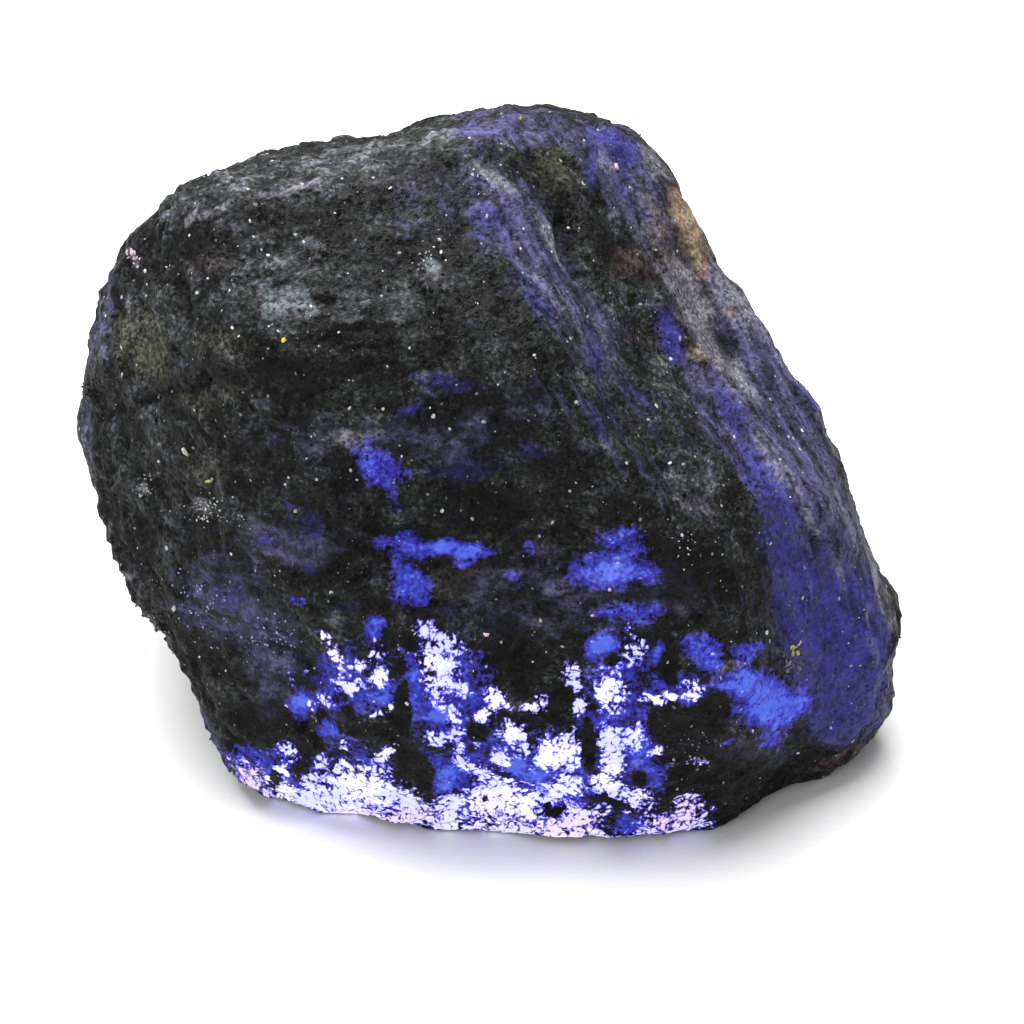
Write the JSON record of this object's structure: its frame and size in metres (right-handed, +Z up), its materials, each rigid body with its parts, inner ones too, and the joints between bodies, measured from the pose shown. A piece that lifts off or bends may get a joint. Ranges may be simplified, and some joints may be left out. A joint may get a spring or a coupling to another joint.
{
  "type": "rough sapphire",
  "caption": "Fist-sized boulder of rough sapphire: dark, granular and angular, with a striated side, blue see-through patches and a flat patch to rest on.",
  "frame": {"origin": "centre of the box around the stone, on the surface it rests on", "axes": "+X to the right as the stone is usually seen, along its longest side, +Y away from the viewer, +Z up"},
  "size_m": [0.0816, 0.0632, 0.0622],
  "materials": {
    "sapphire_rock": "rough, granular, dull with small bright glints"
  },
  "bodies": {
    "root": {"rough_sapphire": "sapphire_rock"}
  },
  "joints": []
}
